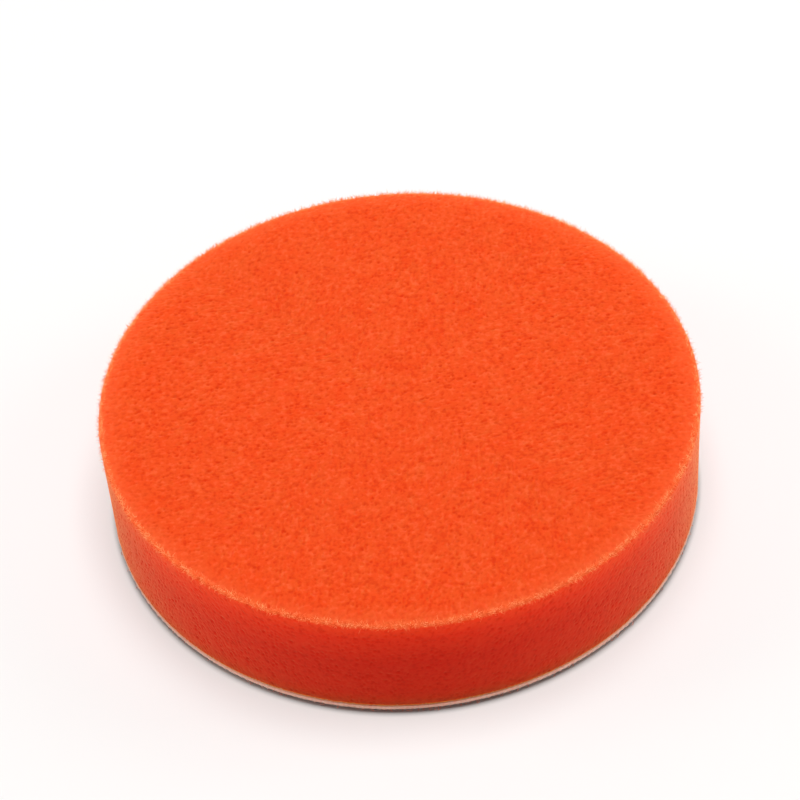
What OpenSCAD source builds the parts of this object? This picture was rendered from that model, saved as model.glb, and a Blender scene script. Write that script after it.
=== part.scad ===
// Flat foam polishing pad with a hook-and-loop backing.
//
// A disc of open-cell polyurethane foam is laminated with a hot-melt film to a
// knitted loop cloth, and the stack is cut to a round. The part stands on its
// loops with the work face up: +Z points out of the work face, and the origin
// is the centre of the plane that the loop tips lie in.

/* [Foam disc] */
// Diameter of the foam disc
foam_d = 125; // [75:1:200]
// Thickness of the foam disc
foam_t = 25; // [10:0.5:50]
// Radius that the cut edge of the work face relaxes to
edge_r = 1.25; // [0.5:0.05:4]

/* [Adhesive film] */
// Thickness of the hot-melt film
film_t = 0.3; // [0.1:0.05:1]
// How far the film's edge lies inside the foam's edge
film_inset = 0.35; // [0:0.05:2]

/* [Loop cloth] */
// Thickness of the knitted ground that holds the loops
ground_t = 1.0; // [0.3:0.05:2]
// How far the ground's cut edge lies inside the foam's edge
ground_inset = 0.2; // [0:0.05:2]
// Height of the loop pile below the ground
pile_h = 1.2; // [0.6:0.05:3]
// How far the pile's widest row of loops lies inside the ground's edge
pile_inset = 0.6; // [0:0.05:2]
// Radius by which the outer loops lean in towards their tips
pile_edge_r = 0.9; // [0.2:0.05:3]

/* [Hidden] */

$fn = 96;
// Thinnest upright band left beside a rounded edge
MIN_LAND = 0.05;

foam_r = foam_d / 2;
film_r = foam_r - film_inset;
ground_r = foam_r - ground_inset;
pile_r = ground_r - pile_inset;

pile_z = 0;
ground_z = pile_z + pile_h;
film_z = ground_z + ground_t;
foam_z = film_z + film_t;

// A rounded edge takes at most the wall that it is cut from
work_edge_r = min(edge_r, foam_t - MIN_LAND);
tip_edge_r = min(pile_edge_r, pile_h - MIN_LAND);

// Disc of radius r standing on z = 0, with its top edge rounded
module round_top_disc(r, height, fillet)
{
    rotate_extrude()
    {
        square([r - fillet, height]);
        square([r, height - fillet]);
        intersection()
        {
            translate([r - fillet, height - fillet]) circle(fillet);
            square([r, height]);
        }
    }
}

// Flat disc of radius r standing on z = 0
module flat_disc(r, height)
{
    cylinder(h = height, r = r);
}

// Open-cell polyurethane foam, cut from sheet, with the work face on top
module foam_disc()
{
    color("orangered")
    translate([0, 0, foam_z])
    round_top_disc(foam_r, foam_t, work_edge_r);
}

// Hot-melt film that bonds the foam to the cloth
module adhesive_film()
{
    color("linen")
    translate([0, 0, film_z])
    flat_disc(film_r, film_t);
}

// Warp-knitted ground of the loop cloth
module loop_ground()
{
    color("whitesmoke")
    translate([0, 0, ground_z])
    flat_disc(ground_r, ground_t);
}

// Brushed loops under the ground, as the solid that their tips fill
module loop_pile()
{
    color("gainsboro")
    translate([0, 0, pile_z + pile_h])
    mirror([0, 0, 1])
    round_top_disc(pile_r, pile_h, tip_edge_r);
}

foam_disc();
adhesive_film();
loop_ground();
loop_pile();
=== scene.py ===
import math

import bpy
from mathutils import Matrix, Vector, noise


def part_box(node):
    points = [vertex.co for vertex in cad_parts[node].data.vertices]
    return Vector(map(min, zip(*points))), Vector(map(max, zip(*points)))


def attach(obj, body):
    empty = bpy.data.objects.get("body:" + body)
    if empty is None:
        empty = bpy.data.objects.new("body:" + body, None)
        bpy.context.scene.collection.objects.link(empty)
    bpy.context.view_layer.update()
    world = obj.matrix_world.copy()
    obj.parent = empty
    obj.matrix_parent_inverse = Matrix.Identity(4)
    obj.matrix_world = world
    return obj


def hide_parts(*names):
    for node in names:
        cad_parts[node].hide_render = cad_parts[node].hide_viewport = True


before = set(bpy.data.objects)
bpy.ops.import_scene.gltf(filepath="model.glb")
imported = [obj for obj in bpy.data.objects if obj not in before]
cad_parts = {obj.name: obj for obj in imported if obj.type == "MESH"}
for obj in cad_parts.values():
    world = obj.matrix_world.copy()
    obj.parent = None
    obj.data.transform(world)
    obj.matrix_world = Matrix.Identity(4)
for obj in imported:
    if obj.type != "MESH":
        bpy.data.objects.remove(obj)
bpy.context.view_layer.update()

MM = 0.001


# ---------------------------------------------------------------------------
# Camera. A long lens looks down at the pad from the front, leaning a little to
# one side, so that the round face fills most of the picture and the side wall
# shows below it.
# ---------------------------------------------------------------------------

foam_low, foam_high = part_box("foam_disc")
camera_data = bpy.data.cameras.new("camera")
camera_data.sensor_width = 36
camera_data.lens = 120.46
camera_data.clip_start = 0.01
camera_data.clip_end = 40
camera = bpy.data.objects.new("camera", camera_data)
bpy.context.scene.collection.objects.link(camera)
bpy.context.scene.camera = camera

camera_distance = 573.19 * MM
camera_height_angle = math.radians(47.559)
look_down = math.radians(46.01)
look_aside = math.radians(-0.04)
lean = math.radians(-4.667)
stand = Vector((0, -math.cos(camera_height_angle), math.sin(camera_height_angle)))
camera.matrix_world = (
    Matrix.Translation(Vector((0, 0, foam_low.z)) + camera_distance * stand)
    @ Matrix.Rotation(look_aside, 4, "Z")
    @ Matrix.Rotation(math.pi / 2 - look_down, 4, "X")
    @ Matrix.Rotation(lean, 4, "Z")
)


# ---------------------------------------------------------------------------
# Studio. The pad lies on a pale table of lit acrylic, which keeps its shadow
# faint and is masked off under the pad. A soft light hangs straight above, and
# three low ones at the sides and behind graze the fuzz along the rim.
# ---------------------------------------------------------------------------

bpy.context.scene.view_settings.view_transform = "Standard"

room = bpy.data.worlds.new("room")
room.use_nodes = True
room.node_tree.nodes["Background"].inputs["Color"].default_value = (1.0, 0.99, 0.985, 1)
room.node_tree.nodes["Background"].inputs["Strength"].default_value = 0.22
bpy.context.scene.world = room

# name, width, depth, power, place, tilt
soft_lights = [
    ("overhead_softbox", 0.5, 0.7, 7.9, (0.06, 0.0, 1.0), (0, 3)),
    ("left_softbox", 0.9, 0.5, 4.25, (-1.0, 0.1, 0.45), (0, -66)),
    ("right_softbox", 0.9, 0.5, 4.25, (1.0, 0.1, 0.45), (0, 66)),
    ("back_softbox", 1.2, 0.3, 2.5, (0.0, 1.0, 0.3), (-74, 0)),
]
for name, width, depth, power, place, (tip_back, tip_aside) in soft_lights:
    light_data = bpy.data.lights.new(name, "AREA")
    light_data.shape = "RECTANGLE"
    light_data.size = width
    light_data.size_y = depth
    light_data.energy = power
    light_data.color = (1.0, 0.985, 0.97)
    light = bpy.data.objects.new(name, light_data)
    light.location = place
    light.rotation_euler = (math.radians(tip_back), math.radians(tip_aside), 0)
    bpy.context.scene.collection.objects.link(light)

table_size = 6.0
table_mesh = bpy.data.meshes.new("table")
half = table_size / 2
table_mesh.from_pydata(
    [(-half, -half, 0), (half, -half, 0), (half, half, 0), (-half, half, 0)],
    [],
    [(0, 1, 2, 3)],
)
acrylic = bpy.data.materials.new("lit_acrylic")
acrylic.use_nodes = True
acrylic_shader = acrylic.node_tree.nodes["Principled BSDF"]
acrylic_shader.inputs["Base Color"].default_value = (0.50, 0.498, 0.496, 1)
acrylic_shader.inputs["Roughness"].default_value = 0.8
acrylic_shader.inputs["Emission Color"].default_value = (1.0, 0.985, 0.98, 1)
table_glow = 0.40
from_centre = acrylic.node_tree.nodes.new("ShaderNodeVectorMath")
from_centre.operation = "LENGTH"
acrylic_place = acrylic.node_tree.nodes.new("ShaderNodeTexCoord")
acrylic.node_tree.links.new(acrylic_place.outputs["Object"], from_centre.inputs[0])
mask = acrylic.node_tree.nodes.new("ShaderNodeMapRange")
mask.interpolation_type = "SMOOTHSTEP"
mask_inside = 0.6 * MM
mask_outside = 1.1 * MM
mask.inputs["From Min"].default_value = foam_high.x - mask_inside
mask.inputs["From Max"].default_value = foam_high.x + mask_outside
mask.inputs["To Max"].default_value = table_glow
acrylic.node_tree.links.new(from_centre.outputs["Value"], mask.inputs["Value"])
acrylic.node_tree.links.new(mask.outputs["Result"], acrylic_shader.inputs["Emission Strength"])
table_mesh.materials.append(acrylic)
table = bpy.data.objects.new("table", table_mesh)
bpy.context.scene.collection.objects.link(table)


# ---------------------------------------------------------------------------
# Foam disc. Open-cell polyurethane foam, sliced to a sheet and cut to a round
# with a wire, so every face shows cells cut open and the thin struts between
# them. It is bonded to the loop cloth over its whole lower face.
# ---------------------------------------------------------------------------

def feed(tree, socket, value):
    """Links a socket to another node's output, or sets it to a plain value."""
    if isinstance(value, bpy.types.NodeSocket):
        tree.links.new(value, socket)
    else:
        socket.default_value = value


def add(tree, kind, inputs=None, **settings):
    """A new node with its settings made and its inputs, named or numbered, fed."""
    node = tree.nodes.new(kind)
    for name, value in settings.items():
        setattr(node, name, value)
    for key, value in (inputs or {}).items():
        feed(tree, node.inputs[key], value)
    return node


def calc(tree, operation, *values):
    """One step of arithmetic on numbers."""
    return add(tree, "ShaderNodeMath", dict(enumerate(values)), operation=operation).outputs[0]


def ease(tree, value, low, high, to_low=0.0, to_high=1.0):
    """A smooth step from to_low to to_high, as value goes from low to high."""
    ends = {"Value": value, "From Min": low, "From Max": high, "To Min": to_low, "To Max": to_high}
    return add(tree, "ShaderNodeMapRange", ends, interpolation_type="SMOOTHSTEP").outputs["Result"]


def geometry_tree(name, inputs):
    """An empty geometry tree with named inputs, given as (name, kind) pairs, and one geometry output."""
    tree = bpy.data.node_groups.new(name, "GeometryNodeTree")
    for label, kind in inputs:
        tree.interface.new_socket(name=label, in_out="INPUT", socket_type="NodeSocket" + kind)
    tree.interface.new_socket(name="Geometry", in_out="OUTPUT", socket_type="NodeSocketGeometry")
    given = tree.nodes.new("NodeGroupInput").outputs
    return tree, given


def store(tree, geometry, name, value, data_type="FLOAT", domain="POINT"):
    """Writes a field onto the geometry under a name that later nodes and the material read."""
    kept = {"Geometry": geometry, "Name": name, "Value": value}
    node = add(tree, "GeometryNodeStoreNamedAttribute", kept, data_type=data_type, domain=domain)
    return node.outputs["Geometry"]


def recall(tree, name, data_type="FLOAT"):
    """Reads a field that was stored under a name."""
    node = add(tree, "GeometryNodeInputNamedAttribute", {"Name": name}, data_type=data_type)
    return node.outputs["Attribute"]


def finish_tree(tree, geometry, material):
    """Ends a tree: real meshes, smooth shading, the material, and the output."""
    real = add(tree, "GeometryNodeRealizeInstances", {"Geometry": geometry}).outputs[0]
    smooth = add(tree, "GeometryNodeSetShadeSmooth", {"Geometry": real}).outputs[0]
    painted = add(tree, "GeometryNodeSetMaterial", {"Geometry": smooth, "Material": material}).outputs[0]
    add(tree, "NodeGroupOutput", {"Geometry": painted})


def grow(name, tree, values, source=None):
    """Runs a geometry tree with its inputs set, and returns the result as a plain mesh piece."""
    seed = bpy.data.objects.new(name + "_seed", source or bpy.data.meshes.new(name + "_seed"))
    modifier = seed.modifiers.new("nodes", "NODES")
    modifier.node_group = tree
    sockets = {s.name: s.identifier for s in tree.interface.items_tree if s.in_out == "INPUT"}
    for label, value in values.items():
        modifier[sockets[label]] = value
    bpy.context.scene.collection.objects.link(seed)
    bpy.context.view_layer.update()
    graph = bpy.context.evaluated_depsgraph_get()
    mesh = bpy.data.meshes.new_from_object(seed.evaluated_get(graph), depsgraph=graph)
    mesh.name = name
    bpy.data.objects.remove(seed)
    piece = bpy.data.objects.new(name, mesh)
    bpy.context.scene.collection.objects.link(piece)
    return piece


def round_blank_tree():
    """A closed round plate: one round blank whose margin is folded down into the side and then under.

    Its rings are a pitch apart along the profile. It keeps "lean", the angle from +Z of the
    face's own normal, and a flat map: the face as a disc, the side as eight strips, the
    underside as a small disc in the corner.
    """
    tree, given = geometry_tree("round_blank", [
        ("Radius", "Float"), ("Thickness", "Float"), ("Edge Radius", "Float"),
        ("Base", "Float"), ("Rings", "Int"),
    ])
    radius, thickness, edge = given["Radius"], given["Thickness"], given["Edge Radius"]
    rings = given["Rings"]
    flat_radius = calc(tree, "SUBTRACT", radius, edge)
    arc_length = calc(tree, "MULTIPLY", edge, math.pi / 2)
    wall_start = calc(tree, "ADD", flat_radius, arc_length)
    profile = calc(tree, "ADD", wall_start, calc(tree, "SUBTRACT", thickness, edge))
    pitch = calc(tree, "DIVIDE", profile, rings)

    # The grid's points sit on whole numbers, so the larger coordinate is the ring that a point is in
    all_rings = calc(tree, "ADD", rings, 2)
    across = calc(tree, "MULTIPLY", all_rings, 2)
    count = calc(tree, "ADD", across, 1)
    grid = add(tree, "GeometryNodeMeshGrid", {
        "Size X": across, "Size Y": across, "Vertices X": count, "Vertices Y": count,
    }).outputs["Mesh"]
    place = add(tree, "GeometryNodeInputPosition").outputs[0]
    part = add(tree, "ShaderNodeSeparateXYZ", {0: place}).outputs
    ring = calc(tree, "MAXIMUM", calc(tree, "ABSOLUTE", part["X"]), calc(tree, "ABSOLUTE", part["Y"]))
    square_angle = calc(tree, "ARCTAN2", part["Y"], part["X"])
    side = calc(tree, "ROUND", calc(tree, "DIVIDE", square_angle, math.pi / 2))
    side_angle = calc(tree, "MULTIPLY", side, math.pi / 2)
    from_side = calc(tree, "TANGENT", calc(tree, "SUBTRACT", square_angle, side_angle))
    turn = calc(tree, "MULTIPLY_ADD", from_side, math.pi / 4, side_angle)
    along = calc(tree, "MULTIPLY", calc(tree, "MINIMUM", ring, rings), pitch)
    under = calc(tree, "MULTIPLY", calc(tree, "MAXIMUM", calc(tree, "SUBTRACT", ring, rings), 0.0), 0.5)
    made = store(tree, grid, "turn", turn)
    made = store(tree, made, "along", along)
    made = store(tree, made, "under", under)

    # The flat map is laid out in shares of its own width. The face is a disc at the lower left. Four
    # strips of the side stand in a column at its right, and four lie in two rows above it. The
    # underside is a small disc at the upper right.
    turn, along, under = recall(tree, "turn"), recall(tree, "along"), recall(tree, "under")
    map_width = calc(tree, "MULTIPLY", radius, 2.86)
    ray = add(tree, "ShaderNodeCombineXYZ", {
        "X": calc(tree, "COSINE", turn), "Y": calc(tree, "SINE", turn),
    }).outputs[0]
    middle = add(tree, "GeometryNodeFieldOnDomain", {0: ray},
                 data_type="FLOAT_VECTOR", domain="FACE").outputs[0]
    middle_part = add(tree, "ShaderNodeSeparateXYZ", {0: middle}).outputs
    middle_angle = calc(tree, "ARCTAN2", middle_part["Y"], middle_part["X"])
    from_start = calc(tree, "ADD", middle_angle, math.pi)
    strip = calc(tree, "FLOOR", calc(tree, "DIVIDE", from_start, math.pi / 4 + 1e-6))
    strip_angle = calc(tree, "MULTIPLY_ADD", strip, math.pi / 4, math.pi / 8 - math.pi)
    turned = add(tree, "ShaderNodeVectorRotate", {
        "Vector": ray, "Angle": calc(tree, "MULTIPLY", strip_angle, -1.0),
    }, rotation_type="Z_AXIS").outputs[0]
    turned_part = add(tree, "ShaderNodeSeparateXYZ", {0: turned}).outputs
    in_strip = calc(tree, "MULTIPLY", calc(tree, "ARCTAN2", turned_part["Y"], turned_part["X"]), radius)
    down_strip = calc(tree, "SUBTRACT", along, calc(tree, "MULTIPLY_ADD", arc_length, 0.5, flat_radius))
    in_top_band = calc(tree, "GREATER_THAN", strip, 3.5)
    odd = calc(tree, "MODULO", strip, 2.0)
    row = calc(tree, "FLOOR", calc(tree, "DIVIDE", calc(tree, "SUBTRACT", strip, 4.0), 2.0))
    strip_u = calc(tree, "MULTIPLY_ADD", in_top_band,
                   calc(tree, "MULTIPLY_ADD", odd, 0.29, -0.69), 0.85)
    strip_v = add(tree, "ShaderNodeMix", {
        "Factor": in_top_band,
        "A": calc(tree, "MULTIPLY_ADD", strip, 0.15, 0.005),
        "B": calc(tree, "MULTIPLY_ADD", row, 0.15, 0.705),
    }).outputs["Result"]
    wall_map = add(tree, "ShaderNodeCombineXYZ", {
        "X": calc(tree, "ADD", calc(tree, "DIVIDE", in_strip, map_width), strip_u),
        "Y": calc(tree, "ADD", calc(tree, "DIVIDE", down_strip, map_width), strip_v),
    }).outputs[0]
    face_map = add(tree, "ShaderNodeVectorMath", {
        0: ray, 1: calc(tree, "DIVIDE", along, map_width), 2: (0.35, 0.35, 0.0),
    }, operation="MULTIPLY_ADD").outputs[0]
    hidden_map = add(tree, "ShaderNodeVectorMath", {
        0: ray, 1: calc(tree, "MULTIPLY_ADD", under, -0.13, 0.13), 2: (0.86, 0.86, 0.0),
    }, operation="MULTIPLY_ADD").outputs[0]
    middle_along = add(tree, "GeometryNodeFieldOnDomain", {0: down_strip}, domain="FACE").outputs[0]
    middle_under = add(tree, "GeometryNodeFieldOnDomain", {0: under}, domain="FACE").outputs[0]
    outside = add(tree, "ShaderNodeMix", {
        0: calc(tree, "GREATER_THAN", middle_along, 0.0), 4: face_map, 5: wall_map,
    }, data_type="VECTOR").outputs[1]
    whole = add(tree, "ShaderNodeMix", {
        0: calc(tree, "GREATER_THAN", middle_under, 0.0), 4: outside, 5: hidden_map,
    }, data_type="VECTOR").outputs[1]
    made = store(tree, made, "OFBake", whole, data_type="FLOAT2", domain="CORNER")

    bent = calc(tree, "DIVIDE", calc(tree, "SUBTRACT", along, flat_radius), edge)
    bent = add(tree, "ShaderNodeClamp", {"Value": bent, "Min": 0.0, "Max": math.pi / 2}).outputs[0]
    made = store(tree, made, "lean", bent)
    bend = recall(tree, "lean")
    on_face = calc(tree, "MINIMUM", along, flat_radius)
    reach = calc(tree, "MULTIPLY_ADD", calc(tree, "SINE", bend), edge, on_face)
    reach = calc(tree, "MULTIPLY", reach, calc(tree, "SUBTRACT", 1.0, under))
    drop = calc(tree, "MAXIMUM", calc(tree, "SUBTRACT", along, wall_start), 0.0)
    wall_height = calc(tree, "SUBTRACT", thickness, edge)
    level = calc(tree, "MULTIPLY_ADD", calc(tree, "COSINE", bend), edge, wall_height)
    level = calc(tree, "ADD", calc(tree, "SUBTRACT", level, drop), given["Base"])
    folded = add(tree, "ShaderNodeCombineXYZ", {
        "X": calc(tree, "MULTIPLY", calc(tree, "COSINE", turn), reach),
        "Y": calc(tree, "MULTIPLY", calc(tree, "SINE", turn), reach),
        "Z": level,
    }).outputs[0]
    made = add(tree, "GeometryNodeSetPosition", {"Geometry": made, "Position": folded}).outputs[0]
    made = add(tree, "GeometryNodeMergeByDistance", {"Geometry": made, "Distance": 1e-7}).outputs[0]
    add(tree, "NodeGroupOutput", {"Geometry": made})
    return tree


round_blank = round_blank_tree()


def blank(tree, values):
    """The round blank as a node of a larger tree."""
    node = tree.nodes.new("GeometryNodeGroup")
    node.node_tree = round_blank
    for label, value in values.items():
        feed(tree, node.inputs[label], value)
    return node.outputs[0]


def outward(tree):
    """The direction that the undisturbed skin of a round blank faces."""
    bend, turn = recall(tree, "lean"), recall(tree, "turn")
    flat = calc(tree, "SINE", bend)
    return add(tree, "ShaderNodeCombineXYZ", {
        "X": calc(tree, "MULTIPLY", calc(tree, "COSINE", turn), flat),
        "Y": calc(tree, "MULTIPLY", calc(tree, "SINE", turn), flat),
        "Z": calc(tree, "COSINE", bend),
    }).outputs[0]


def principled(name, **values):
    """A new material and its shader, with the values that are the same all over."""
    material = bpy.data.materials.new(name)
    material.use_nodes = True
    shader = material.node_tree.nodes["Principled BSDF"]
    for label, value in values.items():
        shader.inputs[label.replace("_", " ")].default_value = value
    return material, material.node_tree, shader


def blend(tree, share, first, second, how="MIX"):
    """One colour mixed into, or multiplied onto, another."""
    node = add(tree, "ShaderNodeMix", {0: share, 6: first, 7: second}, data_type="RGBA", blend_type=how)
    return node.outputs[2]


def foam_material(wall_start, wall_end):
    """Dyed foam, mottled on its face; painted shade makes it redder down its side and in its cells, and a
    painted highlight pales its rim.
    """
    material, tree, shader = principled(
        "orange_foam",
        Roughness=0.9,
        Specular_IOR_Level=0.05,
        Subsurface_Weight=1.0,
        Subsurface_Radius=(1.0, 0.26, 0.15),
        Subsurface_Scale=8.0 * MM,
        Sheen_Weight=1.0,
        Sheen_Roughness=0.34,
        Sheen_Tint=(1.0, 0.46, 0.21, 1),
    )
    place = add(tree, "ShaderNodeTexCoord").outputs["Object"]
    kept = {name: add(tree, "ShaderNodeAttribute", attribute_name=name).outputs["Fac"]
            for name in ("pore", "lean", "along")}

    # The face, in patches a few cells wide
    patch = add(tree, "ShaderNodeTexNoise", {"Vector": place, "Scale": 210.0, "Detail": 3.0}).outputs[0]
    face = blend(tree, ease(tree, patch, 0.35, 0.65), (0.76, 0.067, 0.009, 1), (0.76, 0.079, 0.012, 1))

    # The side: painted shade, redder and darker, with painted light near the work face and near the film,
    # where light comes through the foam
    down = add(tree, "ShaderNodeMapRange", {
        "Value": kept["along"], "From Min": wall_start, "From Max": wall_end,
    }).outputs[0]
    side = add(tree, "ShaderNodeValToRGB", {"Fac": down})
    side_light_and_shade = side.color_ramp.elements
    side_light_and_shade[0].position = 0.05
    side_light_and_shade[0].color = (0.95, 0.068, 0.014, 1)
    side_light_and_shade[1].position = 1.0
    side_light_and_shade[1].color = (0.76, 0.045, 0.010, 1)
    for position, colour in ((0.2, (0.87, 0.032, 0.009, 1)), (0.5, (0.73, 0.018, 0.007, 1)),
                             (0.85, (0.71, 0.022, 0.007, 1))):
        side_light_and_shade.new(position).color = colour
    skin = blend(tree, ease(tree, kept["lean"], 0.75, 1.5), face, side.outputs["Color"])

    # Single cells and struts, darker and paler at random than the patch they lie in, and painted shade in
    # the hollows of the open cells
    speck = add(tree, "ShaderNodeTexNoise", {"Vector": place, "Scale": 1000.0, "Detail": 0.8}).outputs[0]
    skin = blend(tree, ease(tree, speck, 0.46, 0.30), skin, (0.92, 0.72, 0.62, 1), "MULTIPLY")
    # Painted shade in each cell's hollow, deeper where the cell is deeper
    skin = blend(tree, kept["pore"], skin, (0.92, 0.75, 0.68, 1), "MULTIPLY")
    pale = calc(tree, "MULTIPLY", ease(tree, speck, 0.52, 0.74),
                ease(tree, kept["lean"], 0.75, 1.5, 0.30, 0.05))
    skin = blend(tree, pale, skin, (0.90, 0.165, 0.055, 1))

    # A painted highlight on both sides of the rim, and a mottled painted highlight stronger still along its
    # crest
    rim_painted_highlight = calc(tree, "MULTIPLY", ease(tree, kept["along"], wall_start - 4.5 * MM, wall_start + 0.5 * MM),
                  ease(tree, kept["along"], wall_start + 2.0 * MM, wall_start + 0.8 * MM, 0.0, 0.42))
    skin = blend(tree, rim_painted_highlight, skin, (0.82, 0.125, 0.032, 1))
    crest_painted_highlight = calc(tree, "MULTIPLY", ease(tree, kept["along"], wall_start - 1.0 * MM, wall_start + 1.0 * MM),
                 ease(tree, kept["along"], wall_start + 2.2 * MM, wall_start + 1.2 * MM))
    mottled_crest_highlight = calc(tree, "MULTIPLY", crest_painted_highlight, ease(tree, speck, 0.3, 0.7, 0.1, 0.5))
    skin = blend(tree, mottled_crest_highlight, skin, (0.88, 0.18, 0.055, 1))
    feed(tree, shader.inputs["Base Color"], skin)

    # Cells and dust too small to model
    fine = add(tree, "ShaderNodeTexVoronoi", {"Vector": place, "Scale": 2300.0}, feature="SMOOTH_F1")
    dust = add(tree, "ShaderNodeTexNoise", {"Vector": place, "Scale": 4200.0, "Detail": 2.0}).outputs[0]
    height = calc(tree, "MULTIPLY_ADD", dust, 0.5, fine.outputs["Distance"])
    grain = add(tree, "ShaderNodeBump", {"Strength": 0.18, "Distance": 0.07 * MM, "Height": height})
    feed(tree, shader.inputs["Normal"], grain.outputs["Normal"])
    return material


def foam_tree():
    """The round blank with its skin sunk into open cells, shallower and deeper ones at random."""
    tree, given = geometry_tree("foam", [
        ("Radius", "Float"), ("Thickness", "Float"), ("Edge Radius", "Float"), ("Base", "Float"),
        ("Rings", "Int"), ("Cell Size", "Float"), ("Cell Depth", "Float"), ("Sag", "Float"),
        ("Material", "Material"),
    ])
    blank_inputs = ("Radius", "Thickness", "Edge Radius", "Base", "Rings")
    made = blank(tree, {label: given[label] for label in blank_inputs})
    place = add(tree, "GeometryNodeInputPosition").outputs[0]
    wave_height = 0.12 * MM
    sag_starts_inside = 5.0 * MM
    sag_ends_beyond = 2.0 * MM
    cells = {"Vector": place, "Scale": calc(tree, "DIVIDE", 1.0, given["Cell Size"]), "Randomness": 0.95}
    strut = add(tree, "ShaderNodeTexVoronoi", cells, feature="DISTANCE_TO_EDGE").outputs["Distance"]
    cell = add(tree, "ShaderNodeTexVoronoi", cells, feature="F1").outputs["Color"]
    chance = add(tree, "FunctionNodeSeparateColor", {0: cell}).outputs
    bowl = ease(tree, strut, 0.0, 0.36)
    openness = add(tree, "ShaderNodeMapRange", {
        "Value": chance["Red"], "To Min": 0.20, "To Max": 0.90,
    }).outputs[0]
    pore = calc(tree, "MULTIPLY", bowl, openness)
    made = store(tree, made, "pore", pore)
    bend = recall(tree, "lean")
    at_rim = calc(tree, "SINE", calc(tree, "MULTIPLY", bend, 2.0))
    made = store(tree, made, "rim", calc(tree, "POWER", at_rim, 1.5))
    waves = add(tree, "ShaderNodeTexNoise", {"Vector": place, "Scale": 160.0, "Detail": 2.0}).outputs[0]
    # Cells on the side were pressed a little flat by the cutter
    depth = calc(tree, "MULTIPLY", given["Cell Depth"], ease(tree, bend, 1.0, 1.57, 1.0, 0.6))
    sink = calc(tree, "MULTIPLY", recall(tree, "pore"), depth)
    sink = calc(tree, "MULTIPLY_ADD", waves, wave_height, sink)
    sink = calc(tree, "MULTIPLY", sink, calc(tree, "LESS_THAN", recall(tree, "under"), 0.01))
    shift = add(tree, "ShaderNodeVectorMath", {
        0: outward(tree), "Scale": calc(tree, "MULTIPLY", sink, -1.0),
    }, operation="SCALE").outputs[0]
    made = add(tree, "GeometryNodeSetPosition", {"Geometry": made, "Offset": shift}).outputs[0]
    # The work face falls away a little towards its edge
    flat_radius = calc(tree, "SUBTRACT", given["Radius"], given["Edge Radius"])
    sag = ease(tree, recall(tree, "along"), calc(tree, "SUBTRACT", flat_radius, sag_starts_inside),
               calc(tree, "ADD", flat_radius, sag_ends_beyond), 0.0, given["Sag"])
    sag = calc(tree, "MULTIPLY", sag, calc(tree, "COSINE", bend))
    lower = add(tree, "ShaderNodeCombineXYZ", {"Z": calc(tree, "MULTIPLY", sag, -1.0)}).outputs[0]
    made = add(tree, "GeometryNodeSetPosition", {"Geometry": made, "Offset": lower}).outputs[0]
    finish_tree(tree, made, given["Material"])
    return tree


foam_radius = foam_high.x
foam_thickness = foam_high.z - foam_low.z
foam_edge = 1.25 * MM
foam_pitch = 0.30 * MM
foam_profile = foam_radius - foam_edge + foam_edge * math.pi / 2 + foam_thickness - foam_edge
foam = grow("foam", foam_tree(), {
    "Radius": foam_radius,
    "Thickness": foam_thickness,
    "Edge Radius": foam_edge,
    "Base": foam_low.z,
    "Rings": round(foam_profile / foam_pitch),
    "Cell Size": 0.85 * MM,
    "Cell Depth": 0.34 * MM,
    "Sag": 0.45 * MM,
    "Material": foam_material(foam_radius - foam_edge, foam_profile),
})
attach(foam, "root")
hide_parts("foam_disc")


# ---------------------------------------------------------------------------
# Strut tips. Where the wire cut the foam, the ends of torn struts stand up from
# the edge of the work face like a short fuzz. They are the same foam, so thin
# that light passes through them; their paler colour is painted light for that.
# ---------------------------------------------------------------------------

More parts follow.
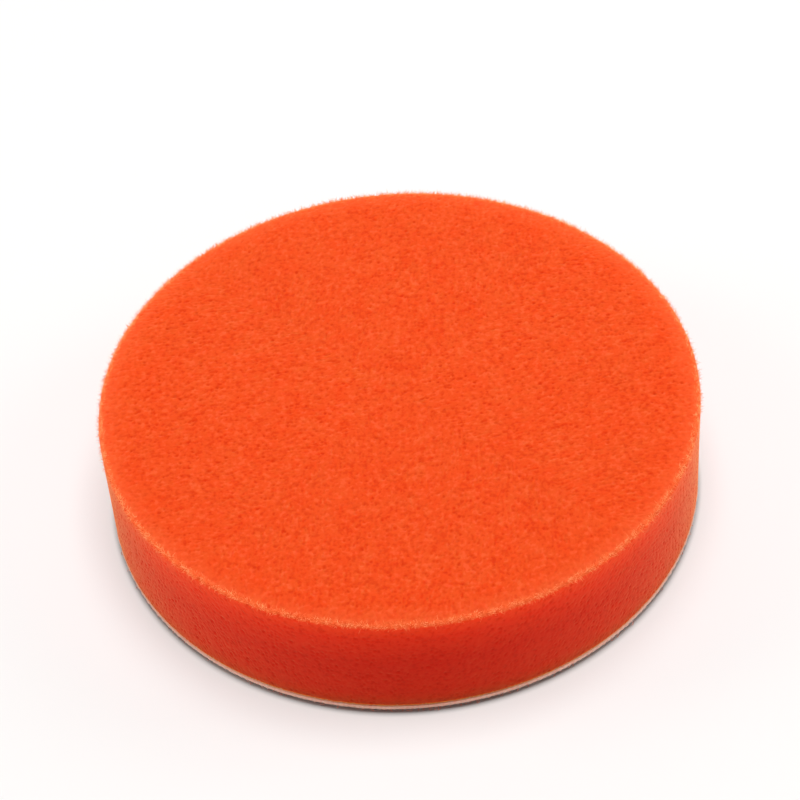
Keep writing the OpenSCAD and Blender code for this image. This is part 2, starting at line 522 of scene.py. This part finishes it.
def spikes_tree():
    """Small pointed spikes on the rim and the side of a round blank, standing on struts, not in cells."""
    tree, given = geometry_tree("spikes", [
        ("Geometry", "Geometry"), ("Rim Density", "Float"), ("Side Density", "Float"),
        ("Length", "Float"), ("Root Radius", "Float"), ("Tilt", "Float"), ("Seed", "Int"),
        ("Material", "Material"),
    ])
    on_strut = ease(tree, recall(tree, "pore"), 0.45, 0.05)
    hidden = add(tree, "GeometryNodeFieldOnDomain", {0: recall(tree, "under")}, domain="FACE").outputs[0]
    free = calc(tree, "LESS_THAN", hidden, 0.01)
    side = ease(tree, recall(tree, "lean"), 0.8, 1.5)
    density = calc(tree, "MULTIPLY", side, given["Side Density"])
    density = calc(tree, "MULTIPLY_ADD", recall(tree, "rim"), given["Rim Density"], density)
    density = calc(tree, "MULTIPLY", density, on_strut)
    spots = add(tree, "GeometryNodeDistributePointsOnFaces", {
        "Mesh": given["Geometry"], "Selection": free, "Density": density, "Seed": given["Seed"],
    }).outputs
    spike = add(tree, "GeometryNodeMeshCone", {
        "Vertices": 3, "Radius Top": 0.0, "Radius Bottom": given["Root Radius"], "Depth": given["Length"],
    }).outputs
    mapped = store(tree, spike["Mesh"], "OFBake", spike["UV Map"], data_type="FLOAT2", domain="CORNER")
    bounds = [
        add(tree, "ShaderNodeCombineXYZ", {
            "X": calc(tree, "MULTIPLY", given["Tilt"], sign),
            "Y": calc(tree, "MULTIPLY", given["Tilt"], sign),
            "Z": math.pi * sign,
        }).outputs[0]
        for sign in (-1.0, 1.0)
    ]
    tilt = add(tree, "FunctionNodeRandomValue", {
        "Min": bounds[0], "Max": bounds[1], "Seed": given["Seed"],
    }, data_type="FLOAT_VECTOR").outputs[0]
    leaning = add(tree, "FunctionNodeRotateRotation", {
        "Rotation": spots["Rotation"],
        "Rotate By": add(tree, "FunctionNodeEulerToRotation", {0: tilt}).outputs[0],
    }, rotation_space="LOCAL").outputs[0]
    size = add(tree, "FunctionNodeRandomValue", {
        "Min": (0.6, 0.6, 0.35), "Max": (1.3, 1.3, 1.25), "Seed": calc(tree, "ADD", given["Seed"], 1),
    }, data_type="FLOAT_VECTOR").outputs[0]
    rooted = store(tree, spots["Points"], "skin_faces", spots["Normal"], data_type="FLOAT_VECTOR")
    stood = add(tree, "GeometryNodeInstanceOnPoints", {
        "Points": rooted, "Instance": mapped, "Rotation": leaning, "Scale": size,
    }).outputs[0]
    finish_tree(tree, stood, given["Material"])
    return tree


def light_as_skin(piece, share):
    """Shades see-through spikes partly the way the skin under them faces, and takes away their shadow."""
    mesh = piece.data
    skin = [tuple(item.vector) for item in mesh.attributes["skin_faces"].data]
    own = [tuple(item.vector) for item in mesh.vertex_normals]
    mesh.normals_split_custom_set_from_vertices(
        [Vector(a).lerp(Vector(b), share).normalized() for a, b in zip(own, skin)]
    )
    mesh.attributes.remove(mesh.attributes["skin_faces"])
    piece.visible_shadow = False


spikes = spikes_tree()


def tip_material():
    """Torn foam ends, painted paler than the skin they stand on, as painted light passing through them."""
    material, tree, shader = principled(
        "orange_foam_tips",
        Roughness=0.85,
        Specular_IOR_Level=0.1,
    )
    place = add(tree, "ShaderNodeTexCoord").outputs["Object"]
    patch = add(tree, "ShaderNodeTexNoise", {"Vector": place, "Scale": 900.0, "Detail": 1.0}).outputs[0]
    # The paler orange is painted light, for light that passes through the thin struts
    feed(tree, shader.inputs["Base Color"],
         blend(tree, ease(tree, patch, 0.35, 0.65), (0.94, 0.17, 0.048, 1), (1.0, 0.36, 0.14, 1)))
    return material


tips = grow("foam_strut_tips", spikes, {
    "Rim Density": 27.0 / MM**2,
    "Length": 0.98 * MM,
    "Root Radius": 0.06 * MM,
    "Tilt": 0.8,
    "Seed": 4,
    "Material": tip_material(),
}, source=foam.data)
light_as_skin(tips, 0.75)
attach(tips, "root")


# ---------------------------------------------------------------------------
# Adhesive film. A sheet of hot-melt glue, pressed between foam and cloth while
# soft, so that its edge squeezes out into small uneven beads. It sets to a
# milky, faintly amber skin, painted more orange here for the light that comes
# through the foam.
# ---------------------------------------------------------------------------

def film_mesh(low, high, radius):
    """A closed disc whose edge is a rounded bead of uneven reach."""
    columns = 1440
    bulge = 0.16 * MM
    thickness = high - low
    profile = [(0.0, 0.0), (0.30, 0.7), (0.5, 1.0), (0.70, 0.7), (1.0, 0.0)]
    points, faces = [(0, 0, low), (0, 0, high)], []
    for k in range(columns):
        turn = 2 * math.pi * k / columns
        ray = Vector((math.cos(turn), math.sin(turn), 0))
        wander = noise.noise(ray * 14) + 0.6 * noise.noise(ray * 55)
        for height, share in profile:
            reach = radius - bulge + bulge * share * (1 + 0.9 * wander)
            points.append(ray * reach + Vector((0, 0, low + thickness * height)))
    step = len(profile)
    for k in range(columns):
        here, ahead = 2 + k * step, 2 + (k + 1) % columns * step
        faces.append((0, ahead, here))
        faces.append((1, here + step - 1, ahead + step - 1))
        faces += [(here + j, ahead + j, ahead + j + 1, here + j + 1) for j in range(step - 1)]
    mesh = bpy.data.meshes.new("adhesive_film_edge")
    mesh.from_pydata(points, [], faces)
    mesh.shade_smooth()
    return mesh


def film_material():
    """Set glue: milky, a little glossy, with a painted orange tint for the light that comes through the
    foam above it.
    """
    material, tree, shader = principled(
        "set_glue",
        Roughness=0.42,
        IOR=1.48,
        Subsurface_Weight=0.5,
        Subsurface_Radius=(1.0, 0.55, 0.35),
        Subsurface_Scale=0.8 * MM,
    )
    place = add(tree, "ShaderNodeTexCoord").outputs["Object"]
    cloud = add(tree, "ShaderNodeTexNoise", {"Vector": place, "Scale": 700.0, "Detail": 3.0}).outputs[0]
    # The orange tint is painted light from the foam above
    feed(tree, shader.inputs["Base Color"],
         blend(tree, ease(tree, cloud, 0.35, 0.65), (0.90, 0.42, 0.24, 1), (0.93, 0.60, 0.44, 1)))
    dimples = add(tree, "ShaderNodeBump", {"Strength": 0.4, "Distance": 0.05 * MM, "Height": cloud})
    feed(tree, shader.inputs["Normal"], dimples.outputs["Normal"])
    return material


film_low, film_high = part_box("adhesive_film")
film = bpy.data.objects.new("adhesive_film_edge", film_mesh(film_low.z, film_high.z, film_high.x))
film.data.materials.append(film_material())
bpy.context.scene.collection.objects.link(film)
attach(film, "root")
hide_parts("adhesive_film")


# ---------------------------------------------------------------------------
# Ground cloth. A warp-knitted nylon ground, cut to a round with the foam. Its
# chains of stitches run straight across the underside, and short ends of cut
# yarn stand out along its edge.
# ---------------------------------------------------------------------------

def ground_tree():
    """The round blank turned over, with its face raised into rows of knitted stitches."""
    tree, given = geometry_tree("ground_cloth", [
        ("Radius", "Float"), ("Thickness", "Float"), ("Edge Radius", "Float"), ("Top", "Float"),
        ("Rings", "Int"), ("Wale", "Float"), ("Course", "Float"), ("Relief", "Float"),
        ("Material", "Material"),
    ])
    made = blank(tree, {
        "Radius": given["Radius"], "Thickness": given["Thickness"], "Edge Radius": given["Edge Radius"],
        "Base": 0.0, "Rings": given["Rings"],
    })
    place = add(tree, "GeometryNodeInputPosition").outputs[0]
    part = add(tree, "ShaderNodeSeparateXYZ", {0: place}).outputs
    across = calc(tree, "DIVIDE", part["X"], given["Wale"])
    along = calc(tree, "DIVIDE", part["Y"], given["Course"])
    # Each wale is a chain of slanting stitches that lean left and right by turns
    slant = calc(tree, "PINGPONG", along, 0.5)
    shifted = calc(tree, "ADD", across, calc(tree, "MULTIPLY", slant, 0.35))
    chain = calc(tree, "ABSOLUTE", calc(tree, "SINE", calc(tree, "MULTIPLY", shifted, math.pi)))
    stitch = calc(tree, "ABSOLUTE", calc(tree, "COSINE", calc(tree, "MULTIPLY", along, math.pi)))
    raised = calc(tree, "MULTIPLY", chain, calc(tree, "MULTIPLY_ADD", stitch, 0.6, 0.4))
    made = store(tree, made, "raised", raised)
    fuzz_height = 0.06 * MM
    fuzz = add(tree, "ShaderNodeTexNoise", {"Vector": place, "Scale": 1400.0, "Detail": 2.0}).outputs[0]
    sink = calc(tree, "MULTIPLY", calc(tree, "SUBTRACT", 1.0, recall(tree, "raised")), given["Relief"])
    sink = calc(tree, "MULTIPLY_ADD", fuzz, fuzz_height, sink)
    sink = calc(tree, "MULTIPLY", sink, calc(tree, "LESS_THAN", recall(tree, "under"), 0.01))
    shift = add(tree, "ShaderNodeVectorMath", {
        0: outward(tree), "Scale": calc(tree, "MULTIPLY", sink, -1.0),
    }, operation="SCALE").outputs[0]
    made = add(tree, "GeometryNodeSetPosition", {"Geometry": made, "Offset": shift}).outputs[0]
    lift = add(tree, "ShaderNodeCombineXYZ", {"Z": given["Top"]}).outputs[0]
    turned = add(tree, "GeometryNodeTransform", {
        "Geometry": made, "Translation": lift, "Rotation": (math.pi, 0.0, 0.0),
    }).outputs[0]
    finish_tree(tree, turned, given["Material"])
    return tree


def ground_material():
    """Knitted nylon, pale salmon in part as painted orange light from the foam: matt yarn, with painted
    shade between the stitches, with a fine twist in it.
    """
    material, tree, shader = principled(
        "salmon_ground_cloth",
        Roughness=0.8,
        Specular_IOR_Level=0.25,
        Subsurface_Weight=0.3,
        Subsurface_Radius=(1.0, 0.8, 0.7),
        Subsurface_Scale=0.5 * MM,
        Sheen_Weight=1.0,
        Sheen_Roughness=0.5,
        Sheen_Tint=(1.0, 0.70, 0.58, 1),
    )
    place = add(tree, "ShaderNodeTexCoord").outputs["Object"]
    raised = add(tree, "ShaderNodeAttribute", attribute_name="raised").outputs["Fac"]
    fibre = add(tree, "ShaderNodeTexNoise", {"Vector": place, "Scale": 2600.0, "Detail": 3.0}).outputs[0]
    # Random fibre tone, with painted shade between the stitches where the knit sinks
    fibre_tone_and_stitch_shade = calc(tree, "MULTIPLY_ADD", fibre, 0.5, calc(tree, "MULTIPLY", raised, 0.6))
    feed(tree, shader.inputs["Base Color"],
         blend(tree, ease(tree, fibre_tone_and_stitch_shade, 0.1, 0.8), (1.0, 0.40, 0.28, 1), (1.0, 0.54, 0.41, 1)))
    twist = add(tree, "ShaderNodeBump", {"Strength": 0.6, "Distance": 0.06 * MM, "Height": fibre})
    feed(tree, shader.inputs["Normal"], twist.outputs["Normal"])
    return material


ground_low, ground_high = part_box("loop_ground")
ground_pitch = 0.42 * MM
wale_spacing = 1.05 * MM
course_spacing = 0.85 * MM
# The cut edge frays, and is drawn this far out past the clean round
fray = 0.25 * MM
ground = grow("ground_cloth", ground_tree(), {
    "Radius": ground_high.x + fray,
    "Thickness": ground_high.z - ground_low.z,
    "Edge Radius": 0.05 * MM,
    "Top": ground_high.z,
    "Rings": round((ground_high.x + ground_high.z - ground_low.z) / ground_pitch),
    "Wale": wale_spacing,
    "Course": course_spacing,
    "Relief": 0.16 * MM,
    "Material": ground_material(),
})
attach(ground, "root")
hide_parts("loop_ground")

fibres = grow("cloth_edge_fibres", spikes, {
    "Side Density": 7.0 / MM**2,
    "Length": 0.45 * MM,
    "Root Radius": 0.035 * MM,
    "Tilt": 1.1,
    "Seed": 9,
    "Material": ground.data.materials[0],
}, source=ground.data)
fibres.data.attributes.remove(fibres.data.attributes["skin_faces"])
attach(fibres, "root")


# ---------------------------------------------------------------------------
# Loop pile. Soft nylon loops, knitted into the ground stitch by stitch and then
# brushed, so that they stand up crooked and lie over each other. The hooks of a
# backing plate catch in them. Three rings of loops make up the round.
# ---------------------------------------------------------------------------

def loops_tree():
    """Crooked loops hanging from a round of cloth between two radii, one to a stitch."""
    tree, given = geometry_tree("loop_pile", [
        ("Inner Radius", "Float"), ("Outer Radius", "Float"), ("Wale", "Float"), ("Course", "Float"),
        ("Top", "Float"), ("Height", "Float"), ("Yarn Radius", "Float"), ("Segments", "Int"),
        ("Seed", "Int"), ("Material", "Material"),
    ])
    outer = given["Outer Radius"]
    width = calc(tree, "MULTIPLY", outer, 2.0)
    stitches = add(tree, "GeometryNodeMeshGrid", {
        "Size X": width, "Size Y": width,
        "Vertices X": calc(tree, "ROUND", calc(tree, "DIVIDE", width, given["Wale"])),
        "Vertices Y": calc(tree, "ROUND", calc(tree, "DIVIDE", width, given["Course"])),
    }).outputs["Mesh"]
    stray = 0.30 * MM
    sway = add(tree, "FunctionNodeRandomValue", {
        "Min": (-stray, -stray, 0.0), "Max": (stray, stray, 0.0), "Seed": given["Seed"],
    }, data_type="FLOAT_VECTOR").outputs[0]
    hung = add(tree, "ShaderNodeCombineXYZ", {"Z": given["Top"]}).outputs[0]
    moved = add(tree, "ShaderNodeVectorMath", {0: sway, 1: hung}, operation="ADD").outputs[0]
    stitches = add(tree, "GeometryNodeSetPosition", {"Geometry": stitches, "Offset": moved}).outputs[0]
    place = add(tree, "GeometryNodeInputPosition").outputs[0]
    flat_place = add(tree, "ShaderNodeVectorMath", {0: place, 1: (1.0, 1.0, 0.0)},
                     operation="MULTIPLY").outputs[0]
    away = add(tree, "ShaderNodeVectorMath", {0: flat_place}, operation="LENGTH").outputs["Value"]
    beyond = calc(tree, "MAXIMUM", calc(tree, "GREATER_THAN", away, outer),
                  calc(tree, "LESS_THAN", away, given["Inner Radius"]))
    stitches = add(tree, "GeometryNodeDeleteGeometry", {"Geometry": stitches, "Selection": beyond},
                   domain="POINT").outputs[0]

    # One loop of yarn: out from the ground, round, and back in beside itself. Its feet are twice
    # foot_reach apart, belly widens it between foot and top, and it bows out to one side.
    foot_reach = 0.14 * MM
    belly = 0.34 * MM
    bow_out = 0.30 * MM
    line = add(tree, "GeometryNodeCurvePrimitiveLine").outputs[0]
    line = add(tree, "GeometryNodeResampleCurve", {
        "Curve": line, "Count": calc(tree, "ADD", given["Segments"], 1),
    }).outputs[0]
    run = add(tree, "GeometryNodeSplineParameter").outputs["Factor"]
    line = store(tree, line, "run", run)
    swing = calc(tree, "MULTIPLY", run, math.pi)
    rise = calc(tree, "SINE", swing)
    spread = calc(tree, "MULTIPLY_ADD", rise, belly, foot_reach)
    bow = add(tree, "ShaderNodeCombineXYZ", {
        "X": calc(tree, "MULTIPLY", calc(tree, "COSINE", swing), calc(tree, "MULTIPLY", spread, -1.0)),
        "Y": calc(tree, "MULTIPLY", calc(tree, "MULTIPLY", rise, rise), bow_out),
        "Z": calc(tree, "MULTIPLY", calc(tree, "POWER", rise, 0.75),
                  calc(tree, "MULTIPLY", given["Height"], -1.0)),
    }).outputs[0]
    line = add(tree, "GeometryNodeSetPosition", {"Geometry": line, "Position": bow}).outputs[0]
    yarn = add(tree, "GeometryNodeCurvePrimitiveCircle", {
        "Resolution": 3, "Radius": given["Yarn Radius"],
    }).outputs[0]
    yarn = store(tree, yarn, "round", add(tree, "GeometryNodeSplineParameter").outputs["Factor"])
    loop = add(tree, "GeometryNodeCurveToMesh", {
        "Curve": line, "Profile Curve": yarn, "Fill Caps": True,
    }).outputs[0]
    unrolled = add(tree, "ShaderNodeCombineXYZ", {
        "X": recall(tree, "run"), "Y": recall(tree, "round"),
    }).outputs[0]
    loop = store(tree, loop, "OFBake", unrolled, data_type="FLOAT2", domain="CORNER")

    twist = add(tree, "FunctionNodeRandomValue", {
        "Min": (-0.40, -0.25, -1.1), "Max": (0.25, 0.25, 1.1), "Seed": calc(tree, "ADD", given["Seed"], 1),
    }, data_type="FLOAT_VECTOR").outputs[0]
    size = add(tree, "FunctionNodeRandomValue", {
        "Min": (0.75, 0.8, 0.72), "Max": (1.25, 1.3, 1.0), "Seed": calc(tree, "ADD", given["Seed"], 2),
    }, data_type="FLOAT_VECTOR").outputs[0]
    pile = add(tree, "GeometryNodeInstanceOnPoints", {
        "Points": stitches, "Instance": loop,
        "Rotation": add(tree, "FunctionNodeEulerToRotation", {0: twist}).outputs[0],
        "Scale": size,
    }).outputs[0]
    finish_tree(tree, pile, given["Material"])
    return tree


def loop_material():
    """Salmon nylon yarn, a little see-through, with painted shade at the roots; the salmon is in part
    painted orange light from the foam.
    """
    material, tree, shader = principled(
        "salmon_loops",
        Roughness=0.5,
        Specular_IOR_Level=0.35,
        Subsurface_Weight=0.4,
        Subsurface_Radius=(1.0, 0.85, 0.75),
        Subsurface_Scale=0.4 * MM,
        Sheen_Weight=0.5,
        Sheen_Roughness=0.4,
        Sheen_Tint=(1.0, 0.50, 0.42, 1),
    )
    place = add(tree, "ShaderNodeTexCoord").outputs["Object"]
    run = add(tree, "ShaderNodeAttribute", attribute_name="run").outputs["Fac"]
    tip = calc(tree, "SINE", calc(tree, "MULTIPLY", run, math.pi))
    patch = add(tree, "ShaderNodeTexNoise", {"Vector": place, "Scale": 420.0, "Detail": 2.0}).outputs[0]
    # Random patches, with painted shade darkening each loop towards its roots
    patch_tone_and_root_shade = calc(tree, "MULTIPLY_ADD", patch, 0.5, calc(tree, "MULTIPLY", tip, 0.5))
    feed(tree, shader.inputs["Base Color"],
         blend(tree, ease(tree, patch_tone_and_root_shade, 0.2, 0.75), (0.55, 0.11, 0.075, 1), (0.86, 0.32, 0.23, 1)))
    return material


pile_low, pile_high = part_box("loop_pile")
pile_radius = pile_high.x
pile_height = pile_high.z - pile_low.z
yarn_radius = 0.062 * MM
pile_reach = pile_height - yarn_radius
root_depth = 0.06 * MM
# Loops at the cut edge are brushed outwards, and their roots stand this far past the clean round
pile_spread = 0.70 * MM
loop_settings = {
    "Wale": wale_spacing, "Course": course_spacing, "Top": pile_high.z + root_depth,
    "Height": pile_reach, "Yarn Radius": yarn_radius, "Material": loop_material(),
}
loop_shape = loops_tree()
# name, inner and outer radius, pieces of yarn to a loop
loop_rings = [
    ("loops_centre", 0.0, 39.0 * MM, 5),
    ("loops_middle", 39.0 * MM, 54.0 * MM, 5),
    ("loops_rim", 54.0 * MM, pile_radius + pile_spread, 7),
]
for seed, (name, inner, outer, segments) in enumerate(loop_rings):
    loops = grow(name, loop_shape, {
        **loop_settings, "Inner Radius": inner, "Outer Radius": outer, "Segments": segments,
        "Seed": 20 + seed,
    })
    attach(loops, "root")
    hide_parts("loop_pile")
